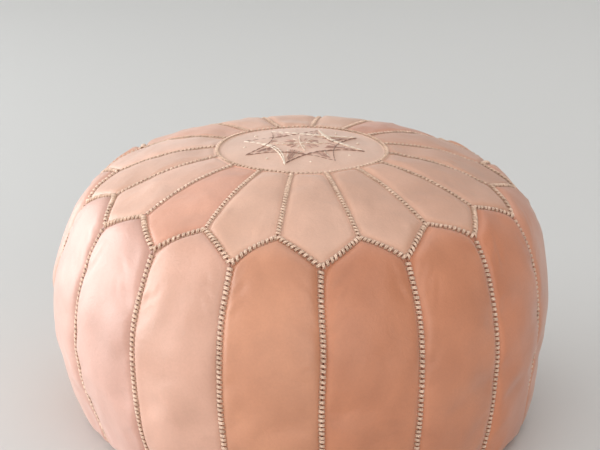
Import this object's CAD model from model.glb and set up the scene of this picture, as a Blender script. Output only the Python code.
"""Looks of the leather pouf: stuffed panels, over-stitched seams, an embroidered medallion and a zipped base."""
import math

import bmesh
import bpy
import numpy as np
from mathutils import Matrix, Vector


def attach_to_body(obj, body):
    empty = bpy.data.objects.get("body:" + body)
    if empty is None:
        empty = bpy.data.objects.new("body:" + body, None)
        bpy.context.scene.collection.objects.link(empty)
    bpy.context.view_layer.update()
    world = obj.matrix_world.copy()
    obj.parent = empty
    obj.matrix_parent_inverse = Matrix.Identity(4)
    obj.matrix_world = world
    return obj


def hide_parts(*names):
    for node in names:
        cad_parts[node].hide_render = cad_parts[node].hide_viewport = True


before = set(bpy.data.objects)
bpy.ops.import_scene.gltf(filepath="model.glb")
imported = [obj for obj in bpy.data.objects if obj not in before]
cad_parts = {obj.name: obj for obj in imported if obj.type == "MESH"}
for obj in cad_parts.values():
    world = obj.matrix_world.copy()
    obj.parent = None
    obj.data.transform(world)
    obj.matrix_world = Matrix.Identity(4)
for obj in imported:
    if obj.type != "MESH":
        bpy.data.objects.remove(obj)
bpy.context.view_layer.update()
MM = 0.001

# ---------------------------------------------------------------- outline, in millimetres
# The seams lie on a chain of tangent arcs from the middle of the crown to the sole, as in the part's own frame.
ARC_RADII = np.array([512.0, 40.0, 224.0, 540.0, 16.0])
SLOPES = np.array([0.0, 25.0, 58.0, 94.0, 105.0, 180.0])
SOLE_HEIGHT = 3.0
MEDALLION_RADIUS = 92.0
PEAK_RADIUS = 206.0
TIP_DROP = 33.0
BASE_RADIUS = 165.0
COUNT = 16
PITCH = 360.0 / COUNT
LEATHER = 1.8

_h = np.radians(SLOPES)
ARC_S = np.concatenate([[0], np.cumsum(ARC_RADII * np.diff(_h))])
ARC_R = np.concatenate([[0], np.cumsum(ARC_RADII * np.diff(np.sin(_h)))])
ARC_Z = np.concatenate([[0], np.cumsum(ARC_RADII * np.diff(np.cos(_h)))])
CROWN = SOLE_HEIGHT - ARC_Z[-1]
HEEL_S = ARC_S[-1]
TOTAL_S = HEEL_S + ARC_R[-1] - BASE_RADIUS
MEDALLION_S = ARC_RADII[0] * math.asin(MEDALLION_RADIUS / ARC_RADII[0])
PEAK_S = ARC_RADII[0] * math.asin(PEAK_RADIUS / ARC_RADII[0])
TIP_S = PEAK_S + TIP_DROP


def slope(s):
    """Slope of the outline in radians, at distance s from the crown."""
    return np.radians(np.interp(s, ARC_S, SLOPES))


def outline(s, lift=0.0):
    """Radius and height on the outline, lifted off it by lift."""
    s = np.asarray(s, float)
    k = np.clip(np.searchsorted(ARC_S, s, side="right") - 1, 0, len(ARC_RADII) - 1)
    h = slope(s)
    r = ARC_R[k] + ARC_RADII[k] * (np.sin(h) - np.sin(_h[k])) + lift * np.sin(h)
    z = CROWN + ARC_Z[k] + ARC_RADII[k] * (np.cos(h) - np.cos(_h[k])) + lift * np.cos(h)
    return r - np.maximum(s - HEEL_S, 0), z


def hump(x, centre, width):
    """1 at centre, falling smoothly to 0 a few widths away."""
    return np.exp(-((x - centre) / width) ** 2)


def stuffing(azimuth, s):
    """How the loose filling pushes the cover out of round: (lift off the outline, move along the radius)."""
    a = (np.asarray(azimuth, float) + 180.0) % 360.0 - 180.0
    back = 0.5 - 0.5 * np.cos(np.pi * np.clip((np.abs(a) - 85.0) / 60.0, 0, 1))
    lift = back * (11.0 * hump(s, 236, 50) + 7.5 * hump(s, 160, 48)) + 3.2 * hump(s, 150, 50)
    lift = lift + 8.5 * hump(a, 90, 28) * hump(s, 276, 46)
    lift = lift + 4.5 * hump(a, -100, 38) * hump(s, 340, 90) - 4.0 * hump(a, 92, 35) * hump(s, 420, 62)
    fade = np.clip((TOTAL_S - s) / 60.0, 0, 1)
    return lift, -13.0 * hump(a, -68, 34) * hump(s, 500, 62) * fade


def waves(seed, lengths, count=18):
    """A smooth seeded field over points in millimetres, about -1 to 1, made of plane waves of those lengths."""
    rng = np.random.default_rng(seed)
    d = rng.normal(size=(count, 3))
    d *= (2 * np.pi / rng.uniform(*lengths, count) / np.linalg.norm(d, axis=1))[:, None]
    phase = rng.uniform(0, 2 * np.pi, count)
    return lambda p: np.sin(p @ d.T + phase).sum(-1) / math.sqrt(count / 2) / 1.6


DRIFT = [waves(11, (70, 190), 10), waves(12, (70, 190), 10)]
DRIFT_SIZE = 1.5


def place(azimuth, r, z):
    """Points at an azimuth in degrees, a radius and a height: 0 faces -Y and 90 faces +X."""
    a = np.radians(azimuth)
    return np.stack(np.broadcast_arrays(r * np.sin(a), -r * np.cos(a), z), axis=-1)


def spot(azimuth, s, lift=0.0):
    """Points on the cover, lifted off it. Hand sewing lets every seam drift a little."""
    azimuth, s = np.asarray(azimuth, float), np.asarray(s, float)
    r, z = outline(s)
    base = place(azimuth, r, z)
    drift = DRIFT_SIZE * np.clip((HEEL_S - s) / 50.0, 0, 1)
    azimuth = azimuth + np.degrees(drift * DRIFT[0](base) / np.maximum(r, 40))
    s = s + drift * DRIFT[1](base) * np.clip(s / 30, 0, 1)
    push, draw = stuffing(azimuth, s)
    r, z = outline(s, lift + push)
    return place(azimuth, r + draw, z)


_rng = np.random.default_rng(5)
CORNERS = np.array([TIP_S, PEAK_S] * COUNT) + _rng.uniform(-1.6, 1.6, 2 * COUNT)
BOWS = _rng.uniform(-3.4, 0.4, 2 * COUNT)


def zigzag(azimuth):
    """Distance of the zigzag seam from the crown: a tip at each whole pitch, a peak halfway between, and bowed runs."""
    turn = np.asarray(azimuth, float) / PITCH * 2
    k = np.floor(turn).astype(int)
    t = turn - k
    here, there = k % (2 * COUNT), (k + 1) % (2 * COUNT)
    return CORNERS[here] * (1 - t) + CORNERS[there] * t + BOWS[here] * np.sin(np.pi * t)


# How far the zigzag's runs lean from the level
LEAN = math.atan(TIP_DROP / (outline((PEAK_S + TIP_S) / 2)[0] * math.radians(PITCH / 2)))


# ---------------------------------------------------------------- helpers
def smooth(x):
    """0 to 1 over x from 0 to 1, level at both ends."""
    x = np.clip(x, 0, 1)
    return x * x * (3 - 2 * x)


def new_mesh(name, points_mm, faces, material, tones=None):
    """A smooth-shaded object from arrays, its faces turned outwards. Tones are a colour for each point."""
    mesh = bpy.data.meshes.new(name)
    points = np.asarray(points_mm, np.float32) * MM
    faces = np.asarray(faces, np.int32)
    a, b, c = (points[faces[:, k]].astype(float) for k in (0, 1, 2))
    volume = (a * np.cross(b, c)).sum()
    if faces.shape[1] == 4:
        volume += (a * np.cross(c, points[faces[:, 3]])).sum()
    if volume < 0:
        faces = faces[:, ::-1]
    mesh.vertices.add(len(points))
    mesh.vertices.foreach_set("co", points.ravel())
    mesh.loops.add(faces.size)
    mesh.loops.foreach_set("vertex_index", faces.ravel())
    mesh.polygons.add(len(faces))
    mesh.polygons.foreach_set("loop_start", np.arange(0, faces.size, faces.shape[1], dtype=np.int32))
    mesh.polygons.foreach_set("use_smooth", np.ones(len(faces), bool))
    mesh.update(calc_edges=True)
    if tones is not None:
        layer = mesh.color_attributes.new("tone", "FLOAT_COLOR", "POINT")
        rgba = np.ones((len(points), 4), np.float32)
        rgba[:, :3] = tones
        layer.data.foreach_set("color", rgba.ravel())
    mesh.validate()
    obj = bpy.data.objects.new(name, mesh)
    bpy.context.scene.collection.objects.link(obj)
    mesh.materials.append(material)
    return obj


def grid_faces(rows, columns):
    r, c = np.mgrid[0:rows - 1, 0:columns - 1]
    a = r * columns + c
    return np.stack([a, a + 1, a + columns + 1, a + columns], -1).reshape(-1, 4)


def ring_faces(idx):
    """Quads over a grid of point numbers whose columns close into a ring."""
    nxt = np.roll(idx, -1, 1)
    return np.stack([idx[:-1], idx[1:], nxt[1:], nxt[:-1]], -1).reshape(-1, 4)


def sheet_mesh(name, outer, inner, material, tones):
    """A closed sheet of leather from two grids of points, its outer and its inner side."""
    rows, columns = outer.shape[:2]
    count = rows * columns
    idx = np.arange(count).reshape(rows, columns)
    rim = np.concatenate([idx[0, :-1], idx[:-1, -1], idx[-1, :0:-1], idx[:0:-1, 0]])
    nxt = np.roll(rim, -1)
    edge = np.stack([nxt, rim, rim + count, nxt + count], -1)
    front = grid_faces(rows, columns)
    faces = np.concatenate([front, front[:, ::-1] + count, edge])
    points = np.concatenate([outer.reshape(-1, 3), inner.reshape(-1, 3)])
    tones = np.concatenate([tones.reshape(-1, 3)] * 2)
    return new_mesh(name, points, faces, material, tones)


def attach(obj, node):
    """Let a piece of the cover stand for its CAD node, with its material slot. A stuffed one says how full it is."""
    if node:
        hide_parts(node)
    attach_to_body(obj, "cover")


def srgb(*values):
    """A linear colour from its red, green and blue out of 255."""
    v = np.array(values, float) / 255
    return np.where(v <= 0.04045, v / 12.92, ((v + 0.055) / 1.055) ** 2.4)


# ---------------------------------------------------------------- materials
def node_material(name):
    material = bpy.data.materials.new(name)
    material.use_nodes = True
    tree = material.node_tree
    return material, tree, tree.nodes["Principled BSDF"]


def link(tree, a, b):
    tree.links.new(a, b)


def set_inputs(node, **values):
    for key, value in values.items():
        node.inputs[key.replace("_", " ")].default_value = value


def add(tree, kind, **inputs):
    node = tree.nodes.new(kind)
    set_inputs(node, **inputs)
    return node


def object_coordinates(tree):
    return add(tree, "ShaderNodeTexCoord").outputs["Object"]


def texture(tree, kind, where, **inputs):
    node = add(tree, "ShaderNodeTex" + kind, **inputs)
    link(tree, where, node.inputs["Vector"])
    return node


def bump(tree, height, strength, distance, under=None):
    """The normal that a height gives, worked on top of the normal under it."""
    node = add(tree, "ShaderNodeBump", Strength=strength, Distance=distance)
    link(tree, height, node.inputs["Height"])
    if under is not None:
        link(tree, under, node.inputs["Normal"])
    return node.outputs["Normal"]


def spread_over(tree, source, low, high):
    """A value from low to high, as the source goes from 0 to 1."""
    node = add(tree, "ShaderNodeMapRange", To_Min=low, To_Max=high)
    link(tree, source, node.inputs["Value"])
    return node.outputs["Result"]


def attribute_tone(tree):
    node = add(tree, "ShaderNodeAttribute")
    node.attribute_name = "tone"
    return node.outputs["Color"]


def ramp(tree, source, stops):
    """A colour ramp over a source, with two stops given as (position, colour)."""
    node = add(tree, "ShaderNodeValToRGB")
    for band, (position, colour) in zip(node.color_ramp.elements, stops):
        band.position, band.color = position, (*colour, 1)
    link(tree, source, node.inputs["Fac"])
    return node.outputs["Color"]


def multiply(tree, a, b):
    node = tree.nodes.new("ShaderNodeMix")
    node.data_type, node.blend_type = "RGBA", "MULTIPLY"
    node.inputs["Factor"].default_value = 1.0
    link(tree, a, node.inputs[6])
    link(tree, b, node.inputs[7])
    return node.outputs[2]


def leather_material(name, colour=None):
    """Vegetable-tanned leather with clouds, grain and creases. Its colour is the piece's own tones, unless given."""
    material, tree, bsdf = node_material(name)
    where = object_coordinates(tree)
    if colour is None:
        tone = attribute_tone(tree)
    else:
        plain = tree.nodes.new("ShaderNodeRGB")
        plain.outputs[0].default_value = (*colour, 1)
        tone = plain.outputs[0]
    cloud = texture(tree, "Noise", where, Scale=17.0, Detail=4.0, Roughness=0.55, Distortion=0.4).outputs["Fac"]
    fleck = texture(tree, "Noise", where, Scale=420.0, Detail=3.0, Roughness=0.6).outputs["Fac"]
    crease = texture(tree, "Noise", where, Scale=95.0, Detail=5.0, Roughness=0.62, Distortion=0.8).outputs["Fac"]
    pore = texture(tree, "Voronoi", where, Scale=760.0)
    pore.feature = "DISTANCE_TO_EDGE"
    low, high = 0.90, 1.05
    clouds = [(0.3, (low, low * 0.985, low * 0.97)), (0.7, (high, high, high * 1.01))]
    tone = multiply(tree, tone, ramp(tree, cloud, clouds))
    tone = multiply(tree, tone, ramp(tree, fleck, [(0.3, (0.955, 0.95, 0.945)), (0.65, (1.01, 1.01, 1.01))]))
    link(tree, tone, bsdf.inputs["Base Color"])
    grain = bump(tree, pore.outputs["Distance"], 0.10, 0.0006)
    link(tree, bump(tree, crease, 0.16, 0.004, grain), bsdf.inputs["Normal"])
    link(tree, spread_over(tree, cloud, 0.45, 0.59), bsdf.inputs["Roughness"])
    set_inputs(bsdf, Specular_IOR_Level=0.8, Coat_Weight=0.4, Coat_Roughness=0.5,
               Sheen_Weight=0.24, Sheen_Roughness=0.5)
    return material


def thread_material(name, light, dark, scale=900.0):
    """Twisted thread: fine plies, with darker grooves between them."""
    material, tree, bsdf = node_material(name)
    where = object_coordinates(tree)
    ply = texture(tree, "Noise", where, Scale=scale, Detail=2.0, Roughness=0.6).outputs["Fac"]
    broad = texture(tree, "Noise", where, Scale=60.0, Detail=2.0).outputs["Fac"]
    plies = ramp(tree, ply, [(0.32, srgb(*dark)), (0.6, srgb(*light))])
    tint = ramp(tree, broad, [(0.35, (0.88, 0.86, 0.83)), (0.65, (1.05, 1.04, 1.02))])
    link(tree, multiply(tree, multiply(tree, plies, tint), attribute_tone(tree)), bsdf.inputs["Base Color"])
    link(tree, bump(tree, ply, 0.35, 0.0005), bsdf.inputs["Normal"])
    set_inputs(bsdf, Roughness=0.55, Sheen_Weight=0.25)
    return material


LEATHER_LOOK = leather_material("pouf_leather")
THREAD = thread_material("cream_thread", (250, 222, 201), (196, 158, 133))
STAR_LIGHT = thread_material("star_thread_cream", (252, 238, 222), (226, 200, 178), 1400.0)
STAR_MID = thread_material("star_thread_rose", (206, 166, 152), (176, 136, 124), 1400.0)
STAR_DARK = thread_material("star_thread_taupe", (174, 134, 116), (130, 96, 82), 1400.0)

# ---------------------------------------------------------------- leather panels
# Distances from a seam's middle at which a panel has a line of points, and how high it stands there:
# the two leathers turn up against each other, and the thread is wrapped over both.
LIP_D = np.array([0.12, 0.4, 0.8, 1.4, 2.0, 2.5, 2.95, 3.4, 4.1, 5.2, 7.0, 9.5])
LIP_H = np.array([-0.9, 0.35, 0.8, 1.0, 0.95, 0.7, 0.3, -0.1, -0.3, -0.2, -0.05, 0.0])


def pillow(distances, height, reach):
    """How far a stuffed panel rises beside its seams: steep at first, then level."""
    nearest = -np.log(sum(np.exp(-np.maximum(d, 0) / 4.0) for d in distances)) * 4.0
    return height * (1 - np.exp(-np.maximum(nearest - 2.8, 0) / reach))


def spread(total, steps, first=LIP_D, last=LIP_D):
    """Distances across a panel: close together by its seams, even between them."""
    inner = np.linspace(first[-1], total - last[-1], steps + 1)[1:-1]
    return np.concatenate([first, inner, total - last[::-1]])


def lip(*distances):
    """Height by the seams from the distances to each of them."""
    heights = [np.interp(d, LIP_D, LIP_H) for d in distances]
    top = heights[0]
    for h in heights[1:]:
        top = np.where(np.abs(h) > np.abs(top), h, top)
    nearest = np.min(distances, axis=0)
    return np.where(nearest < 0.13, LIP_H[0], top)


def creases(rng, u, v, width, length, spots):
    """Short shallow creases, each a ridge beside a groove, from spots of (x, y, angle, reach, depth)."""
    out = np.zeros_like(u)
    x, y = u * width, v * length
    for cx, cy, angle, reach, depth in spots:
        a = math.radians(angle + rng.uniform(-14, 14))
        dx, dy = x - cx, y - cy
        along = dx * math.cos(a) + dy * math.sin(a)
        across = -dx * math.sin(a) + dy * math.cos(a) + 0.012 * along ** 2 * rng.uniform(-1, 1)
        w = rng.uniform(1.8, 3.4)
        ridge = np.exp(-(across / w) ** 2) - 0.8 * np.exp(-((across - 2.2 * w) / w) ** 2)
        out += depth * np.exp(-(along / reach) ** 2) * ridge
    return out


SHADE_D = [0.0, 1.6, 2.6, 3.4, 4.2, 6.5, 11.0]


def tone_field(points, base, seed, near, amount=0.05, crease=0.66):
    """The leather's own cloudy colour over a panel, darker in the crease of a seam and paler on its turned-up lip."""
    n = waves(seed, (45, 160), 14)(points)[..., None]
    m = waves(seed + 1, (18, 60), 14)(points)[..., None]
    tint = np.array([1.0, 1.35, 1.6])
    tones = base * np.clip(1 + amount * n * tint * 0.8 + 0.35 * amount * m * tint, 0.6, 1.25)
    shade = np.interp(near, SHADE_D, [crease, crease + 0.04, crease + 0.1, 0.93, 1.05, 1.03, 1.0])
    return tones * shade[..., None] ** np.array([1.0, 1.15, 1.25])


# ---------------------------------------------------------------- the filling's push, by cloth simulation
CELLS = 14
PETAL_ROWS = 18
SIDE_ROWS = 46


def cover_rows(azimuth, S):
    """Where a point lies between the medallion, zigzag and base seams, counted in rows of the simulated cover."""
    seam = zigzag(azimuth)
    upper = (S - MEDALLION_S) / (seam - MEDALLION_S) * PETAL_ROWS
    lower = PETAL_ROWS + (S - seam) / (TOTAL_S - seam) * SIDE_ROWS
    return np.where(S < seam, upper, lower)


STEPS = 20
CLOTH = {
    "quality": 6, "mass": 0.25, "tension_stiffness": 22, "compression_stiffness": 22, "shear_stiffness": 9,
    "bending_stiffness": 0.6, "tension_damping": 12, "compression_damping": 12, "shear_damping": 12, "air_damping": 4,
    "shrink_min": -0.012, "use_pressure": True, "uniform_pressure_force": 3.0, "vertex_group_mass": "seams",
    "pin_stiffness": 3}


def stuff_cover():
    """Blow the cover up from inside, held along its seams. Returns how far it stands off the outline, on a grid."""
    columns, rows = COUNT * CELLS, PETAL_ROWS + SIDE_ROWS + 1
    azimuth = np.broadcast_to(np.arange(columns) * 360.0 / columns, (rows, columns))
    seam = zigzag(azimuth[0])
    row = np.arange(rows)[:, None]
    S = np.where(row < PETAL_ROWS, MEDALLION_S + (seam - MEDALLION_S) * row / PETAL_ROWS,
                 seam + (TOTAL_S - seam) * (row - PETAL_ROWS) / SIDE_ROWS)
    on_seam = np.zeros((rows, columns), bool)
    on_seam[[0, PETAL_ROWS, rows - 1]] = True
    on_seam[:PETAL_ROWS, CELLS // 2::CELLS] = True
    on_seam[PETAL_ROWS:, ::CELLS] = True
    flat, up = spot(azimuth, S), spot(azimuth, S, 1.0)
    up = up - flat
    lumps = waves(140, (34, 80), 24)(flat) * 1.1 + 1.2
    base = flat + up * np.where(on_seam, 0.0, lumps)[..., None]
    idx = np.arange(rows * columns).reshape(rows, columns)
    mesh = bpy.data.meshes.new("cover_cloth")
    mesh.from_pydata((base.reshape(-1, 3) * MM).tolist(), [], ring_faces(idx).tolist())
    obj = bpy.data.objects.new("cover_cloth", mesh)
    bpy.context.scene.collection.objects.link(obj)
    pins = obj.vertex_groups.new(name="seams")
    pins.add([int(k) for k in idx[on_seam]], 1.0, "REPLACE")
    cloth = obj.modifiers.new("cloth", "CLOTH")
    for key, value in CLOTH.items():
        setattr(cloth.settings, key, value)
    cloth.settings.effector_weights.gravity = 0
    cloth.collision_settings.use_collision = False
    cloth.point_cache.frame_start, cloth.point_cache.frame_end = 1, STEPS
    for step in range(1, STEPS + 1):
        bpy.context.scene.frame_set(step)
    shape = obj.evaluated_get(bpy.context.evaluated_depsgraph_get()).to_mesh()
    moved = np.zeros(rows * columns * 3, np.float32)
    shape.vertices.foreach_get("co", moved)
    bpy.data.objects.remove(obj)
    bpy.data.meshes.remove(mesh)
    bpy.context.scene.frame_set(1)
    off = ((moved.reshape(rows, columns, 3) / MM - flat) * up).sum(-1)
    off = np.where(np.isfinite(off), off, 0)
    return np.clip(off, -2.0, 11.0)


def cubic_taps(t):
    """Weights of a smooth cubic over four neighbours."""
    return [(1 - t) ** 3 / 6, (3 * t ** 3 - 6 * t ** 2 + 4) / 6, (-3 * t ** 3 + 3 * t ** 2 + 3 * t + 1) / 6, t ** 3 / 6]


PUSH = stuff_cover()


def push_at(azimuth, S):
    """The simulated push at any point of the cover."""
    rows, columns = PUSH.shape
    x = np.mod(azimuth, 360.0) / 360.0 * columns
    y = np.clip(cover_rows(azimuth, S), 0, rows - 1.001)
    i, j = np.floor(y).astype(int), np.floor(x).astype(int)
    down, along = cubic_taps(y - i), cubic_taps(x - j)
    total = 0
    for a in range(4):
        for b in range(4):
            total = total + down[a] * along[b] * PUSH[np.clip(i + a - 1, 0, rows - 1), (j + b - 1) % columns]
    return total


SIDE_TONES = [srgb(*c) for c in (
    (198, 126, 88), (203, 131, 94), (206, 130, 92), (209, 144, 114), (209, 145, 115), (211, 147, 114),
    (204, 141, 110), (208, 141, 106), (203, 139, 106), (210, 145, 113), (207, 146, 116), (214, 163, 142),
    (215, 167, 150), (215, 166, 149), (215, 164, 141), (202, 137, 102))]
PETAL_TONES = [srgb(*c) for c in (
    (220, 172, 146), (216, 167, 140), (215, 164, 136), (210, 158, 130), (208, 155, 126), (207, 153, 125),
    (212, 148, 120), (218, 171, 144), (220, 171, 144), (220, 172, 146), (218, 163, 137), (226, 182, 160),
    (223, 177, 153), (228, 182, 159), (221, 160, 133), (221, 173, 147))]


HALF_PITCH = math.radians(PITCH / 2)
SIDE_RADIUS = 262.0  # of the cover where the side panels are widest
PETAL_LENGTH = 150.0


def stuffed_panel(name, azimuth, S, lift, tones):
    """A stuffed leather panel over its stretch of the cover, lifted off it, and flat where it stands on the floor."""
    outer = spot(azimuth, S, lift)
    inner = spot(azimuth, S, np.minimum(lift - LEATHER, lift * 0.5 - LEATHER))
    outer[..., 2] = np.maximum(outer[..., 2], 0.0)
    inner[..., 2] = np.maximum(inner[..., 2], 1.2)
    attach(sheet_mesh(name + ".leather", outer, inner, LEATHER_LOOK, tones), name)


def side_panel(i):
    rng = np.random.default_rng(300 + i)
    middle = PITCH * (i - 0.5)
    width = 2 * HALF_PITCH * SIDE_RADIUS
    across = spread(width, 26)
    near_edge = np.minimum(across, width - across)
    side_of = np.sign(across / width * 2 - 1)
    # Fan the rows out below the pointed top edge, then keep them level
    join = TIP_S + 60
    top_d = np.concatenate([LIP_D, np.linspace(LIP_D[-1], join - TIP_S, 16)[1:]])
    lower = np.concatenate([np.linspace(join, TOTAL_S - LIP_D[-1], 96)[1:-1], TOTAL_S - LIP_D[::-1]])
    n = len(top_d)
    fall = (np.minimum(top_d, LIP_D[-1]) / math.cos(LEAN))[:, None]
    fan = np.maximum(0, (top_d - LIP_D[-1]) / (top_d[-1] - LIP_D[-1]))[:, None]
    S = np.full((n + len(lower), len(across)), TIP_S)
    for _ in range(2):
        # Keep the points by the seams at their true distance, whatever the radius
        r = outline(S)[0]
        span = HALF_PITCH * r
        inside = np.where(near_edge <= LIP_D[-1], span - near_edge,
                          (span - LIP_D[-1]) * (width / 2 - near_edge) / (width / 2 - LIP_D[-1]))
        azimuth = middle + np.degrees(side_of * inside / r)
        start = zigzag(azimuth)
        S[:n] = (start[:n] + fall) * (1 - fan) + join * fan
        S[n:] = lower[:, None]
    top_dist = (S - start) * math.cos(LEAN)
    r = outline(S)[0]
    side_dist = HALF_PITCH * r - np.abs(np.radians(azimuth - middle)) * r
    base_dist = TOTAL_S - S
    nearest = np.minimum(np.minimum(side_dist, top_dist), base_dist)
    base = spot(azimuth, S)
    swell = pillow((side_dist, top_dist, base_dist), 3.2, 2.4) + (push_at(azimuth, S) - 0.6) * smooth(nearest / 8)
    lumps = 0.9 * waves(40, (70, 150))(base) + 0.45 * waves(41 + i, (26, 60))(base)
    length = TOTAL_S - TIP_S
    draw = rng.uniform
    spots = []  # by the top, along the seams, and above the base seam
    for side in (-1, 1):
        for _ in range(5):
            spots.append((side * draw(26, 44), draw(6, 50), side * draw(25, 70), draw(7, 15), draw(0.4, 1.0)))
        for _ in range(9):
            spots.append((side * draw(34, 46), draw(60, length - 20), side * draw(-30, 30), draw(5, 11),
                          draw(0.15, 0.4)))
        for _ in range(5):
            spots.append((side * draw(5, 44), length - draw(30, 90), draw(60, 120), draw(8, 18), draw(0.25, 0.6)))
    u = np.radians(azimuth - middle) / HALF_PITCH
    folds = creases(rng, u, (S - TIP_S) / length, width / 2, length, spots)
    lift = swell + smooth((nearest - 2.5) / 12) * (lumps + folds) + lip(side_dist, top_dist, base_dist)
    tones = tone_field(base, SIDE_TONES[i - 1], 500 + 3 * i, nearest)
    stuffed_panel("side_panel_%02d" % i, azimuth, S, lift, tones)


def petal(i):
    rng = np.random.default_rng(700 + i)
    middle = PITCH * (i - 1)
    width = 2 * HALF_PITCH * PEAK_RADIUS
    across = spread(width, 16)
    near_edge = np.minimum(across, width - across)
    side_of = np.sign(across - width / 2)
    steps = 40
    n = len(LIP_D)
    down = (np.arange(1, steps) / steps)[:, None]
    S = np.full((2 * n + steps - 1, len(across)), 150.0)
    for _ in range(3):
        r = outline(S)[0]
        span = HALF_PITCH * r
        # Where the petal is narrow its middle columns close up
        lip_scale = np.minimum(1, span / (LIP_D[-1] * 1.6))
        cut = LIP_D[-1] * lip_scale
        inside = np.where(near_edge <= LIP_D[-1], span - near_edge * lip_scale,
                          (span - cut) * (width / 2 - near_edge) / (width / 2 - LIP_D[-1]))
        azimuth = middle + np.degrees(side_of * inside / r)
        end = zigzag(azimuth)
        S[:n] = MEDALLION_S + LIP_D[:, None]
        S[n:-n] = (MEDALLION_S + LIP_D[-1]) * (1 - down) + (end[n:-n] - LIP_D[-1] / math.cos(LEAN)) * down
        S[-n:] = end[-n:] - LIP_D[::-1, None] / math.cos(LEAN)
    r = outline(S)[0]
    u = np.radians(azimuth - middle) / HALF_PITCH
    side_dist = HALF_PITCH * r * (1 - np.abs(u))
    top_dist = S - MEDALLION_S
    end_dist = (end - S) * math.cos(LEAN)
    nearest = np.minimum(np.minimum(side_dist, top_dist), end_dist)
    base = spot(azimuth, S)
    swell = pillow((side_dist, top_dist + 1.5, end_dist), 1.4, 2.2) + 0.55 * push_at(azimuth, S) * smooth(nearest / 8)
    lumps = 0.6 * waves(40, (70, 150))(base) + 0.3 * waves(91 + i, (22, 50))(base)
    draw = rng.uniform
    spots = [(side * draw(8, 30), draw(60, 150), side * draw(20, 80), draw(6, 14), draw(0.25, 0.7))
             for side in (-1, 1) for _ in range(5)]
    folds = creases(rng, u * r / PEAK_RADIUS, (S - MEDALLION_S) / PETAL_LENGTH, width / 2, PETAL_LENGTH, spots)
    lift = swell + smooth((nearest - 2.5) / 10) * (lumps + folds) + lip(side_dist, top_dist, end_dist)
    near = np.min([side_dist, top_dist + 2.4, end_dist], axis=0)
    tones = tone_field(base, PETAL_TONES[i - 1], 900 + 3 * i, near)
    stuffed_panel("petal_%02d" % i, azimuth, S, lift, tones)


def medallion():
    around = 240
    d = np.concatenate([LIP_D, np.linspace(LIP_D[-1], MEDALLION_S - 1.0, 34)[1:]])
    S = np.broadcast_to((MEDALLION_S - d)[:, None], (len(d), around))
    azimuth = np.broadcast_to(np.arange(around) * 360.0 / around, S.shape)
    base = spot(azimuth, S)
    edge = MEDALLION_S - S
    lift = 0.5 * lip(edge) + pillow((edge,), 1.0, 4.0) + smooth((edge - 3) / 12) * (
        0.5 * waves(40, (70, 150))(base) + 0.35 * waves(77, (18, 44))(base))
    outer = spot(azimuth, S, lift)
    inner = spot(azimuth, S, np.minimum(lift - LEATHER, lift * 0.5 - LEATHER))
    rows = len(d)
    count = rows * around
    idx = np.arange(count).reshape(rows, around)
    quads = ring_faces(idx)
    rim = np.stack([idx[0], np.roll(idx[0], -1), np.roll(idx[0], -1) + count, idx[0] + count], -1)
    points = np.concatenate([outer.reshape(-1, 3), inner.reshape(-1, 3), [spot(0, 0.0)], [spot(0, 0.0, -LEATHER)]])
    faces = np.concatenate([quads, quads[:, ::-1] + count, rim])
    near = np.concatenate([edge.ravel(), edge.ravel(), [90.0, 90.0]]) + 2.4
    tones = tone_field(points, srgb(229, 186, 162), 1200, near, amount=0.035, crease=0.42)
    obj = new_mesh("medallion.leather", points, faces, LEATHER_LOOK, tones)
    # Close the middle of each side with a fan
    bm = bmesh.new()
    bm.from_mesh(obj.data)
    bm.verts.ensure_lookup_table()
    for side in (0, 1):
        ring = [int(v) + side * count for v in idx[-1]]
        centre = bm.verts[2 * count + side]
        for a, b in zip(ring, ring[1:] + ring[:1]):
            tri = (bm.verts[a], bm.verts[b], centre)
            face = bm.faces.new(tri if side else tri[::-1])
            face.smooth = True
    bm.normal_update()
    bmesh.ops.recalc_face_normals(bm, faces=bm.faces)
    bm.to_mesh(obj.data)
    bm.free()
    attach(obj, "medallion")


for i in range(1, COUNT + 1):
    side_panel(i)
    petal(i)
medallion()


# ---------------------------------------------------------------- stitches
STRAND_RINGS, STRAND_SIDES = 13, 8


def tube_faces(rings, sides):
    """Triangles over a tube made of rings of points, and over its two ends, whose middles come after the rings."""
    tris = []
    for k in range(rings - 1):
        for j in range(sides):
            a, b = k * sides + j, k * sides + (j + 1) % sides
            tris += [(a, b, b + sides), (a, b + sides, a + sides)]
    last, middles = (rings - 1) * sides, rings * sides
    for j in range(sides):
        m = (j + 1) % sides
        tris += [(middles, m, j), (middles + 1, last + j, last + m)]
    return np.array(tris)


def strand(half_width, height, thick, half_length, skew):
    """One turn of thread over a seam, along its own axes: x along the seam, y across it, z up. Returns its points and
    how clean the thread is at each."""
    phi = np.radians(np.linspace(-28, 208, STRAND_RINGS))[:, None]
    taper = 0.55 + 0.45 * np.sin(np.clip((phi - phi[0]) / (phi[-1] - phi[0]), 0, 1) * np.pi) ** 0.5
    psi = np.arange(STRAND_SIDES) * 2 * np.pi / STRAND_SIDES
    y = half_width * np.cos(phi)
    pts = np.stack([skew * np.cos(phi) + half_length * taper * np.cos(psi),
                    y + thick * taper * np.sin(psi) * np.cos(phi),
                    height * np.sin(phi) - 0.15 + thick * taper * np.sin(psi) * np.sin(phi)], -1)
    clean = np.interp(np.abs(y[:, 0]), [0.0, 0.9, 0.75 * half_width, half_width], [1.05, 1.03, 0.86, 0.6])
    clean = np.concatenate([np.repeat(clean, STRAND_SIDES), clean[[0, -1]]])
    return np.concatenate([pts.reshape(-1, 3), [pts[0].mean(0)], [pts[-1].mean(0)]]), clean


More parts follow.
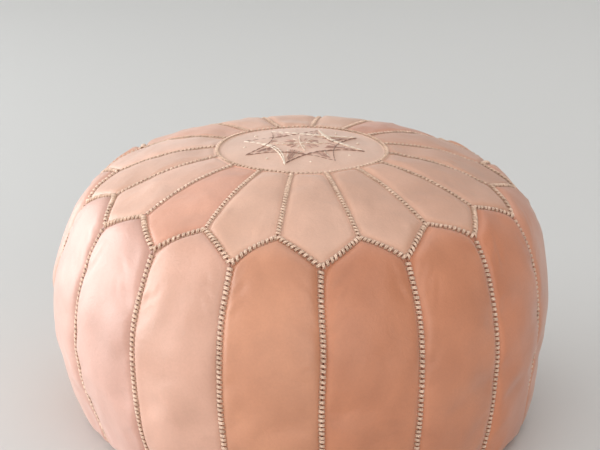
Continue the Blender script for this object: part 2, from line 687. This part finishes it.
def stitch_row(name, course, turns, node, seed, half_width, height, bead, thick=0.7, lean=(0.3, 0.7)):
    """Overcast stitches along a seam, two strands to a turn. course(t, lift) gives its points for t from 0 to 1."""
    rng = np.random.default_rng(seed)
    points, tones = [], []
    for k in range(turns):
        t = (k + 0.5 + rng.uniform(-0.06, 0.06)) / turns
        p = course(t, 0.0)
        up = course(t, 1.0) - p
        up /= np.linalg.norm(up)
        along = course(t + 0.002, 0.0) - course(t - 0.002, 0.0)
        along -= up * (along @ up)
        along /= np.linalg.norm(along)
        across = np.cross(up, along)
        skew = rng.uniform(*lean)
        fresh = rng.uniform(0.86, 1.04)
        w = half_width * rng.uniform(0.93, 1.08)
        h = height * rng.uniform(0.94, 1.06)
        for part in (-1, 1):
            pts, clean = strand(w, h * rng.uniform(0.97, 1.03), thick, 0.52 * bead, skew)
            pts = pts + [part * 0.46 * bead, 0, 0]
            world = p + pts[:, :1] * along + pts[:, 1:2] * across + pts[:, 2:] * up
            world[:, 2] = np.maximum(world[:, 2], 0.0)  # pressed flat where it stands on the floor
            points.append(world)
            tones.append(clean * fresh)
    faces = tube_faces(STRAND_RINGS, STRAND_SIDES)
    faces = np.concatenate([faces + k * len(points[0]) for k in range(len(points))])
    tones = np.concatenate(tones)[:, None] ** np.array([1.0, 1.12, 1.25])
    attach(new_mesh(name, np.concatenate(points), faces, THREAD, tones), node)


def seam_course(kind, k):
    """The course of a seam as a function of t from 0 to 1 and a lift: of kind side, petal or zigzag."""
    if kind == "zigzag":
        return lambda t, l: spot(PITCH / 2 * (k + t), zigzag(PITCH / 2 * (k + np.clip(t, 0, 0.9999))), l)
    if kind == "side":
        azimuth = PITCH * k
        start, end = zigzag(azimuth) + 3.8, TOTAL_S - 3.0
    else:
        azimuth = PITCH * (k + 0.5)
        start, end = MEDALLION_S + 3.0, zigzag(azimuth) - 3.2
    return lambda t, l: spot(azimuth, start + (end - start) * t, l)


def ring_course(s):
    return lambda t, l: spot(360.0 * t, s, l)


# Each seam: how many rows, the first seed, the turns in a row, and the thread's form
for kind, count, seed, turns, form in (
        ("side", COUNT, 2000, 65, {"half_width": 2.75, "height": 2.5, "bead": 1.65, "thick": 1.0}),
        ("petal", COUNT, 2100, 25, {"half_width": 2.4, "height": 1.9, "bead": 1.5, "thick": 0.8, "lean": (0.6, 1.0)}),
        ("zigzag", 2 * COUNT, 2200, 11,
         {"half_width": 2.7, "height": 2.7, "bead": 1.65, "thick": 1.0, "lean": (0.8, 1.3)})):
    for k in range(count):
        stitch_row("%s_stitches_%02d" % (kind, k + 1), seam_course(kind, k), turns, kind + "_stitching", seed + k,
                   **form)
stitch_row("medallion_stitches", ring_course(MEDALLION_S), 116, "medallion_stitching", 2400,
           half_width=2.0, height=1.8, bead=1.35, thick=0.85, lean=(0.6, 1.0))
stitch_row("base_stitches", ring_course(TOTAL_S), 207, "base_stitching", 2401, half_width=2.1, height=2.0, bead=1.4)


# ---------------------------------------------------------------- cords under the seams
def cord(name, courses, node, radius, sides=8):
    """Leather cords along courses, each a list of points in millimetres; a closed one ends where it began."""
    pts, faces, base = [], [], 0
    psi = np.arange(sides) * 2 * np.pi / sides
    for line, closed in courses:
        line = np.asarray(line)
        n = len(line)
        tangent = (np.roll(line, -1, 0) - np.roll(line, 1, 0)) if closed else np.gradient(line, axis=0)
        tangent /= np.linalg.norm(tangent, axis=1)[:, None]
        out = line - [0, 0, 120.0]
        across = np.cross(tangent, out)
        across /= np.linalg.norm(across, axis=1)[:, None]
        above = np.cross(across, tangent)
        rings = line[:, None] + radius * (np.cos(psi)[None, :, None] * across[:, None]
                                          + np.sin(psi)[None, :, None] * above[:, None])
        pts.append(rings.reshape(-1, 3))
        for k in range(n if closed else n - 1):
            m = (k + 1) % n
            for j in range(sides):
                q = (j + 1) % sides
                faces += [(base + k * sides + j, base + m * sides + j, base + m * sides + q),
                          (base + k * sides + j, base + m * sides + q, base + k * sides + q)]
        if not closed:
            for end, order in ((0, 1), (n - 1, -1)):
                ring = [base + end * sides + j for j in range(sides)][::order]
                faces += [(ring[0], ring[j], ring[j + 1]) for j in range(1, sides - 1)]
        base += n * sides
    attach(new_mesh(name, np.concatenate(pts), np.array(faces), CORD_LOOK), node)


CORD_LOOK = leather_material("cord_leather", srgb(160, 112, 86))
CORD_LIFT = -3.9


def sample(course, steps, lift=CORD_LIFT):
    return np.array([course(t, lift) for t in np.linspace(0, 1, steps)])


cord("side_seam.cords", [(sample(seam_course("side", k), 70), False) for k in range(COUNT)],
     "side_seam_cords", 1.1)
cord("petal_seam.cords", [(sample(seam_course("petal", k), 24), False) for k in range(COUNT)],
     "petal_seam_cords", 1.1)
zigzag_ring = np.concatenate([sample(seam_course("zigzag", k), 13)[:-1] for k in range(2 * COUNT)])
cord("zigzag_seam.cord", [(zigzag_ring, True)], "zigzag_seam_cords", 1.1)
cord("medallion.cord", [(sample(ring_course(MEDALLION_S), 121)[:-1], True)], "medallion_cord", 1.0)
cord("base.cord", [(sample(ring_course(TOTAL_S), 181)[:-1], True)], "base_cord", 1.0)


# ---------------------------------------------------------------- embroidered star
THREAD_SIDES = 6


def thread_rings(points, radius):
    """Rings of points round a raised thread, which thins out towards both ends."""
    p = np.asarray(points, float)
    tangent = np.gradient(p, axis=0)
    tangent /= np.linalg.norm(tangent, axis=1)[:, None]
    across = np.cross(tangent, np.array([0, 0, 1.0]))
    across /= np.linalg.norm(across, axis=1)[:, None]
    above = np.cross(across, tangent)
    taper = np.sin(np.linspace(0.06, 0.94, len(p)) * np.pi) ** 0.4
    psi = np.arange(THREAD_SIDES) * 2 * np.pi / THREAD_SIDES
    return p[:, None] + radius * taper[:, None, None] * (
        np.cos(psi)[None, :, None] * across[:, None] + np.sin(psi)[None, :, None] * above[:, None])


def thread_group(name, paths, material, node=None):
    """Threads as one piece, from paths of (points in millimetres, radius)."""
    points, faces, base = [], [], 0
    for path, radius in paths:
        rings = thread_rings(path, radius)
        points += [rings.reshape(-1, 3), [rings[0].mean(0)], [rings[-1].mean(0)]]
        faces.append(base + tube_faces(len(rings), THREAD_SIDES))
        base += len(rings) * THREAD_SIDES + 2
    points = np.concatenate(points)
    attach(new_mesh(name, points, np.concatenate(faces), material, np.ones((len(points), 3))), node)


def on_crown(x, y, lift):
    """A point over the medallion at x, y, standing lift off the leather."""
    x, y = np.asarray(x, float), np.asarray(y, float)
    radius = np.hypot(x, y)
    s = ARC_RADII[0] * np.arcsin(radius / ARC_RADII[0])
    return spot(np.degrees(np.arctan2(x, -y)), s, lift)


def on_plan(azimuth, radius):
    a = math.radians(azimuth)
    return radius * np.array([math.sin(a), -math.cos(a)])


def curve_between(a, b, bow, steps=26):
    """x, y along a bowed line from a to b, both (azimuth, radius)."""
    pa, pb = on_plan(*a), on_plan(*b)
    t = np.linspace(0, 1, steps)[:, None]
    normal = np.array([-(pb - pa)[1], (pb - pa)[0]])
    normal /= np.linalg.norm(normal)
    line = pa * (1 - t) + pb * t + normal * bow * np.sin(np.pi * t)
    return line[:, 0], line[:, 1]


STAR_LIFT = 1.2
STAR_TURN = -19.5
STAR_REACH = 69


def backstitch(x, y, radius, stitch, gap, height):
    """A curve sewn as a row of short raised stitches."""
    length = np.concatenate([[0], np.cumsum(np.hypot(np.diff(x), np.diff(y)))])
    count = max(1, int(round(length[-1] / stitch)))
    out = []
    for k in range(count):
        along = np.linspace(k + gap, k + 1 - gap, 7) * length[-1] / count
        rise = np.sin(np.linspace(0, np.pi, 7))
        x_k, y_k = np.interp(along, length, x), np.interp(along, length, y)
        out.append((on_crown(x_k, y_k, STAR_LIFT + height * rise), radius))
    return out


def star():
    """Two overlapping four-pointed stars with bowed-in sides, their arms filled with fans of thread."""
    rng = np.random.default_rng(88)
    light, middle, dark = [], [], []
    for k in range(8):
        tip = STAR_TURN + 45 * k
        here, there = (tip, STAR_REACH + rng.uniform(-3, 3)), (tip + 90, STAR_REACH + rng.uniform(-3, 3))
        group = light if k in (2, 6, 3) else dark
        rows = (-0.85, 0.85) if group is light else (0.0,)
        for row in rows:
            x, y = curve_between(here, there, 13 + row + rng.uniform(-2, 1))
            group += backstitch(x, y, 1.0 if group is light else 0.7, 8.5, 0.02, 0.4)
        # A fan of thread in the arm
        for j in range(-3, 4):
            reach = 61 - 3.0 * abs(j) + rng.uniform(-3, 2)
            inner = (32 if k % 2 else 27) + rng.uniform(-2, 3)
            x, y = curve_between((tip + 1.3 * j, reach), (tip + 6.0 * j, inner), 0.4 * j, 12)
            strands = {0: dark, 3: light}.get((j + k) % 6, middle)
            strands.extend(backstitch(x, y, 0.45, 11.0, 0.05, 0.2))
    # Short stitches round the middle and a running line across it
    for k in range(16):
        x, y = curve_between((22.5 * k + rng.uniform(-3, 3), 9), (22.5 * k + 4, 21 + rng.uniform(-2, 2)), 1.0, 8)
        (middle if k % 3 else light).extend(backstitch(x, y, 0.55, 12.0, 0.05, 0.3))
    for turn in (0, 90):
        x, y = curve_between((STAR_TURN + 22 + turn, 30), (STAR_TURN + 202 + turn, 30), 2.0)
        light.extend(backstitch(x, y, 0.7, 7.0, 0.12, 0.45))
    # A knot between the arms
    for k in range(8):
        x, y = curve_between((STAR_TURN + 22.5 + 45 * k, 62), (STAR_TURN + 23.5 + 45 * k, 64.5), 0.0, 4)
        light.append((on_crown(x, y, STAR_LIFT + 0.3), 1.2))
    thread_group("star_embroidery_light", light, STAR_LIGHT, "star_embroidery")
    thread_group("star_embroidery_rose", middle, STAR_MID)
    thread_group("star_embroidery_dark", dark, STAR_DARK)


star()

# ---------------------------------------------------------------- base and zip
RECESS_RADIUS = 148.0
RECESS_HEIGHT = 8.5
ZIP_HALF = 120.0
SLOT_HALF = 7.0


def base_half(node, side):
    """One half of the base: sewn to the side panels round its rim, its straight edge folded back beside the zip."""
    inner = np.linspace(LIP_D[-1], BASE_RADIUS - 4, 34)[1:]
    v = 1 - np.concatenate([LIP_D, inner]) / BASE_RADIUS
    v = np.concatenate([v, [0.02, 0.012, 0.004, 0.0]])
    u = np.sin(np.linspace(-np.pi / 2, np.pi / 2, 150) * 0.998)
    x0 = (BASE_RADIUS - 0.4) * u
    edge = 0.25 + (SLOT_HALF - 0.25) * smooth((ZIP_HALF + 12 - np.abs(x0)) / 8)
    turn = np.arcsin(u)
    start = np.stack([x0, side * edge], -1)
    rim = np.stack([BASE_RADIUS * np.sin(turn), side * BASE_RADIUS * np.cos(turn)], -1)
    plan = start + (rim - start) * v[:, None, None]
    r = np.hypot(plan[..., 0], plan[..., 1])
    rim_dist = BASE_RADIUS - r
    slot_dist = np.abs(plan[..., 1]) - np.broadcast_to(edge, r.shape)
    step = smooth((r - RECESS_RADIUS + 4) / (BASE_RADIUS - RECESS_RADIUS + 3))
    z = RECESS_HEIGHT - (RECESS_HEIGHT - SOLE_HEIGHT) * step
    point = np.concatenate([plan, z[..., None]], -1)
    sag = smooth((slot_dist - 12) / 40) * smooth((rim_dist - 8) / 40) * (2.2 + 0.8 * waves(55, (30, 90))(point))
    fold = 0.9 * hump(slot_dist, 1.2, 1.6) + 0.5 * hump(slot_dist, 4.6, 1.1)
    pucker = 0.35 * np.cos(np.degrees(1) * np.arctan2(plan[..., 0], plan[..., 1]) * 1.6) * hump(rim_dist, 9, 7)
    z = z - sag - fold * smooth(rim_dist / 12) - pucker - 0.8 * lip(rim_dist)
    outer = np.concatenate([plan, z[..., None]], -1)
    tones = tone_field(point, srgb(190, 138, 108), 1500, np.minimum(rim_dist, slot_dist + 2.6))
    sheet = sheet_mesh(node + ".leather", outer, outer + [0, 0, LEATHER], LEATHER_LOOK, tones)
    attach(sheet, node)


base_half("base_half_front", -1)
base_half("base_half_back", 1)

seam_z = RECESS_HEIGHT - 0.75
rows = []
for side in (-1, 1):
    for x in np.arange(-ZIP_HALF, ZIP_HALF - 2, 4.5):
        along = np.linspace(0, 3.4, 7)
        rows.append((np.stack([x + along, np.full(7, side * (SLOT_HALF + 2.6)),
                               seam_z - 0.4 * np.sin(np.pi * along / 3.4)], -1), 0.42))
thread_group("zip_stitches", rows, STAR_LIGHT, "zip_stitching")
rows = []
for side in (-1, 1):
    for k in range(5):
        across = np.linspace(-3.4, 3.4, 11)
        x = side * (ZIP_HALF + 9 + 4.2 * k) + 0.12 * across
        rows.append((np.stack([x, across, seam_z - 0.05 - 0.2 * np.cos(across / 3.4 * np.pi / 2)], -1), 0.33))
thread_group("closing_stitches", rows, STAR_LIGHT, "closing_stitching")


def brass_material():
    """Satin brass with fine scratches, browner in its hollows."""
    material, tree, bsdf = node_material("satin_brass")
    where = object_coordinates(tree)
    tarnish = texture(tree, "Noise", where, Scale=240.0, Detail=3.0).outputs["Fac"]
    scratch = texture(tree, "Noise", where, Scale=2600.0, Detail=1.0).outputs["Fac"]
    tints = ramp(tree, tarnish, [(0.3, (0.36, 0.22, 0.08)), (0.65, (0.72, 0.5, 0.2))])
    link(tree, tints, bsdf.inputs["Base Color"])
    link(tree, spread_over(tree, tarnish, 0.22, 0.42), bsdf.inputs["Roughness"])
    link(tree, bump(tree, scratch, 0.08, 0.0002), bsdf.inputs["Normal"])
    set_inputs(bsdf, Metallic=1.0)
    return material


def tape_material():
    """Brown zip tape: a fine rib across it, and a twill along."""
    material, tree, bsdf = node_material("zip_tape_cloth")
    where = object_coordinates(tree)
    rib = texture(tree, "Wave", where, Scale=620.0, Distortion=0.6)
    twill = texture(tree, "Wave", where, Scale=420.0)
    for node, direction in ((rib, "X"), (twill, "DIAGONAL")):
        node.wave_type, node.bands_direction = "BANDS", direction
    tints = ramp(tree, rib.outputs["Fac"], [(0.2, srgb(92, 66, 50)), (0.8, srgb(134, 102, 80))])
    twills = ramp(tree, twill.outputs["Fac"], [(0.3, (0.8, 0.8, 0.8)), (0.7, (1.05, 1.05, 1.05))])
    link(tree, multiply(tree, tints, twills), bsdf.inputs["Base Color"])
    link(tree, bump(tree, rib.outputs["Fac"], 0.4, 0.0003), bsdf.inputs["Normal"])
    set_inputs(bsdf, Roughness=0.8, Sheen_Weight=0.3)
    return material


def dress(node, material):
    """Give a carried-over CAD node its material."""
    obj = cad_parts[node]
    obj.data.materials.clear()
    obj.data.materials.append(material)


BRASS = brass_material()
TAPE = tape_material()
for node in ("zip_teeth_front", "zip_teeth_back", "zip_top_stops", "zip_bottom_stop", "zip_slider", "zip_pull_tab"):
    dress(node, BRASS)
for node in ("zip_tape_front", "zip_tape_back"):
    dress(node, TAPE)

# ---------------------------------------------------------------- lining bag and filling
def round_shell(name, stations, lift, material, node, seed, amount, thickness=0.0):
    """A closed round body under the leather: a bag with two sides where it has a thickness, else one solid lump."""
    around = 96
    azimuth = np.broadcast_to(np.arange(around) * 360.0 / around, (len(stations), around))
    S = np.broadcast_to(np.asarray(stations)[:, None], azimuth.shape)
    base = spot(azimuth, S)
    bulge = 4.5 * np.abs(np.sin(np.pi * azimuth / PITCH)) ** 0.6
    bulge = bulge * smooth((S - TIP_S - 8) / 40) * smooth((HEEL_S - 10 - S) / 40)
    outer = spot(azimuth, S, lift + bulge - amount * (0.5 + 0.5 * np.clip(waves(seed, (25, 70))(base), -1, 1)))
    # Under the flank the bag's floor lies over the base and the zip
    radius = np.hypot(outer[..., 0], outer[..., 1])
    outer[..., 2] = np.maximum(outer[..., 2], BAG_FLOOR - np.clip((radius - 146) * 0.7, 0, 9))
    grids = [outer]
    if thickness:
        pull = outer.copy()
        pull[..., :2] *= 1 - thickness / np.maximum(radius, 30)[..., None]
        middle = 0.5 * (CROWN + BAG_FLOOR)
        pull[..., 2] += np.clip((middle - outer[..., 2]) / 60, -1, 1) * thickness
        grids.append(pull)
    rows = len(stations)
    count = rows * around
    idx = np.arange(count).reshape(rows, around)
    nxt = np.roll(idx, -1, 1)
    faces, points = [], []
    for k, grid in enumerate(grids):
        quads = ring_faces(idx)[:, [0, 3, 2, 1]] + k * count
        faces.append(quads[:, ::-1] if k == 0 else quads)
        points.append(grid.reshape(-1, 3))
    if thickness:
        faces.append(np.stack([idx[-1], nxt[-1], nxt[-1] + count, idx[-1] + count], -1))
        faces.append(np.stack([nxt[0], idx[0], idx[0] + count, nxt[0] + count], -1))
    points = np.concatenate(points)
    obj = new_mesh(name, points, np.concatenate(faces), material, np.ones((len(points), 3)))
    if not thickness:
        bm = bmesh.new()
        bm.from_mesh(obj.data)
        bmesh.ops.holes_fill(bm, edges=[e for e in bm.edges if e.is_boundary], sides=0)
        bmesh.ops.recalc_face_normals(bm, faces=bm.faces)
        bm.to_mesh(obj.data)
        bm.free()
    attach(obj, node)
    return obj


BAG_FLOOR = 14.7
WADDING = thread_material("cotton_wadding", (244, 240, 230), (226, 220, 206), 260.0)
COTTON = thread_material("cotton_bag_cloth", (236, 228, 208), (206, 194, 170), 1100.0)
bag_stations = np.concatenate([np.linspace(3, HEEL_S, 70), HEEL_S + np.linspace(8, ARC_R[-1] - 29, 22)])
round_shell("lining_bag.cloth", bag_stations, -5.3, COTTON, "lining_bag", 60, 1.2, thickness=0.8)
fill_stations = np.concatenate([np.linspace(3, HEEL_S, 70), HEEL_S + np.linspace(8, ARC_R[-1] - 12, 22)])
lump = round_shell("filling.wadding", fill_stations, -8.0, WADDING, "filling", 61, 3.0)
lump.data.transform(Matrix.Translation((0, 0, 0.9 * MM)))

# The cord that draws the bag's mouth shut: three plies twisted together, its two ends crossed and tied
plies = []
turns = np.linspace(0, 2 * np.pi, 421)
for ply in range(3):
    phase = 30 * turns + ply * 2 * np.pi / 3
    ring = 26.4 + 0.5 * np.cos(phase)
    height = BAG_FLOOR + 1.2 + 0.5 * np.sin(phase)
    plies.append((np.stack([ring * np.sin(turns), -ring * np.cos(turns), height], -1), 0.58))
for side in (-1, 1):
    t = np.linspace(0, 1, 40)
    plies.append((np.stack([side * (2.2 * np.sin(3 * np.pi * t) - 14 * t ** 2),
                            -26.4 + 6 * np.sin(2.2 * np.pi * t) * (1 - t) + 12 * t,
                            BAG_FLOOR + 2.2 + 1.0 * np.sin(np.pi * t + side)], -1), 0.8))
thread_group("bag_drawstring.cord", plies, COTTON, "bag_drawstring")

# ---------------------------------------------------------------- stage, light and camera
floor_mesh = bpy.data.meshes.new("floor")
floor_mesh.from_pydata([(-6, -6, 0), (6, -6, 0), (6, 2.2, 0), (6, 3.4, 0.35), (6, 3.9, 1.4), (6, 4.0, 5),
                        (-6, 4.0, 5), (-6, 3.9, 1.4), (-6, 3.4, 0.35), (-6, 2.2, 0)], [],
                       [(0, 1, 2, 9), (9, 2, 3, 8), (8, 3, 4, 7), (7, 4, 5, 6)])
for p in floor_mesh.polygons:
    p.use_smooth = True
floor = bpy.data.objects.new("floor", floor_mesh)
bpy.context.scene.collection.objects.link(floor)
floor_look, tree, bsdf = node_material("pale_floor")
set_inputs(bsdf, Base_Color=(0.63, 0.63, 0.62, 1), Roughness=0.6)
floor_mesh.materials.append(floor_look)


def area_light(name, location, target, size, power, colour=(1, 1, 1)):
    data = bpy.data.lights.new(name, "AREA")
    data.shape = "RECTANGLE"
    data.size, data.size_y = size
    data.energy = power
    data.color = colour
    light = bpy.data.objects.new(name, data)
    light.location = location
    light.rotation_euler = (Vector(target) - Vector(location)).to_track_quat("-Z", "Y").to_euler()
    bpy.context.scene.collection.objects.link(light)


area_light("window", (-2.2, 0.5, 0.62), (0, 0, 0.14), (3.6, 1.15), 61, (0.95, 0.98, 1.0))
area_light("front_fill", (0.55, -2.8, 1.5), (0, 0, 0.1), (2.6, 1.6), 16, (1, 0.98, 0.95))
area_light("floor_bounce", (0.0, -1.75, 0.26), (0, 0, 0.06), (2.4, 0.46), 5.5, (1, 0.96, 0.9))
area_light("top", (0.5, 0.0, 3.0), (0, 0, 0.2), (3, 3), 30)
area_light("back_wash", (1.2, 1.7, 1.7), (1.0, 2.6, 0.0), (1.4, 0.8), 5)
world = bpy.data.worlds.new("studio")
world.use_nodes = True
tree = world.node_tree
background = tree.nodes["Background"]
side = add(tree, "ShaderNodeSeparateXYZ")
link(tree, add(tree, "ShaderNodeTexCoord").outputs["Generated"], side.inputs[0])
fade = add(tree, "ShaderNodeMapRange", From_Min=-1.0, From_Max=1.0, To_Min=0.8, To_Max=0.22)
link(tree, side.outputs["X"], fade.inputs["Value"])
link(tree, fade.outputs["Result"], background.inputs["Strength"])
background.inputs["Color"].default_value = (1.0, 0.985, 0.965, 1)
bpy.context.scene.world = world
bpy.context.scene.view_settings.view_transform = "Standard"

camera_data = bpy.data.cameras.new("camera")
camera_data.lens = 132.0
camera_data.sensor_width = 36.0
camera_data.shift_x = -0.0032
camera = bpy.data.objects.new("camera", camera_data)
azimuth, elevation, distance, aim = math.radians(-4.5), math.radians(17.66), 2.434, 0.221
reach = distance * math.cos(elevation)
camera.location = (reach * math.sin(azimuth), -reach * math.cos(azimuth), aim + distance * math.sin(elevation))
camera.rotation_euler = (math.pi / 2 - elevation, 0, azimuth)
bpy.context.scene.collection.objects.link(camera)
bpy.context.scene.camera = camera
